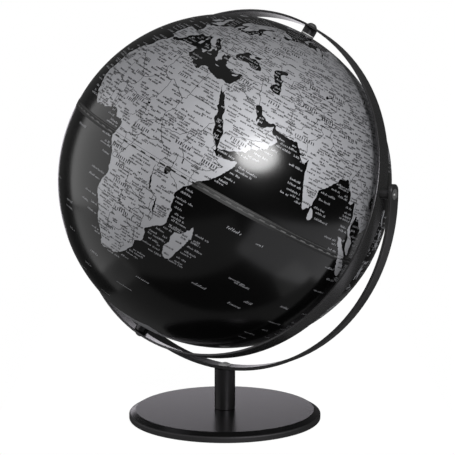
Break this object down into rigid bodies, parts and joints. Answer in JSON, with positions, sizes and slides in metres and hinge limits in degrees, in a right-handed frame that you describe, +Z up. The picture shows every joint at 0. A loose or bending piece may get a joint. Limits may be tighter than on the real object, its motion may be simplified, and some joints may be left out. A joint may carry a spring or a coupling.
{
  "type": "desktop globe on stand",
  "caption": "World globe that spins between its poles in a flat meridian ring; the ring swings end over end in a half-round cradle on a post and a round foot.",
  "frame": {"origin": "middle of the foot's underside, on the table", "axes": "+Z up, +X along the swing pivots towards the pivot on the viewer's right, +Y away from the viewer"},
  "size_m": [0.344, 0.3, 0.3731],
  "materials": {
    "foot_paint": "satin black powder coat",
    "bar_paint": "satin black powder coat",
    "post_paint": "satin black powder coat",
    "pad_rubber": "matte black foam rubber",
    "black_screw": "black oxide, slightly shiny",
    "plain_screw": "bright nickel plate",
    "steel_rod": "ground steel",
    "black_spacer": "gloss black",
    "nylon": "black nylon",
    "globe_print": "gloss black sea with satin silver land",
    "inner_plastic": "plain moulded plastic"
  },
  "bodies": {
    "stand": {"base_pad": "pad_rubber", "base_plate": "foot_paint", "base_screw": "plain_screw", "post": "post_paint", "cradle": "bar_paint", "cradle_screw": "plain_screw", "right_pivot_washer": "nylon", "left_pivot_washer": "nylon"},
    "ring": {"meridian_ring": "bar_paint", "axle": "steel_rod", "right_pivot_screw": "black_screw", "right_pivot_spacer": "black_spacer", "right_pivot_nut": "plain_screw", "left_pivot_screw": "black_screw", "left_pivot_spacer": "black_spacer", "left_pivot_nut": "plain_screw", "north_thrust_washer": "nylon", "north_pole_spacer": "black_spacer", "north_pole_screw": "black_screw", "south_thrust_washer": "nylon", "south_pole_spacer": "black_spacer", "south_pole_screw": "black_screw"},
    "globe": {"north_hemisphere": "globe_print", "south_hemisphere": "globe_print", "equator_joint_band": "inner_plastic", "north_pole_bush": "inner_plastic", "south_pole_bush": "inner_plastic"}
  },
  "joints": [
    {"name": "ring_swing", "type": "hinge", "parent": "stand", "child": "ring", "pos_m": [0, 0, 0.2191], "axis": [1, 0, 0], "continuous": true},
    {"name": "globe_spin", "type": "hinge", "parent": "ring", "child": "globe", "pos_m": [0, 0, 0.2191], "axis": [0.3987, 0.2834, 0.8722], "continuous": true}
  ]
}
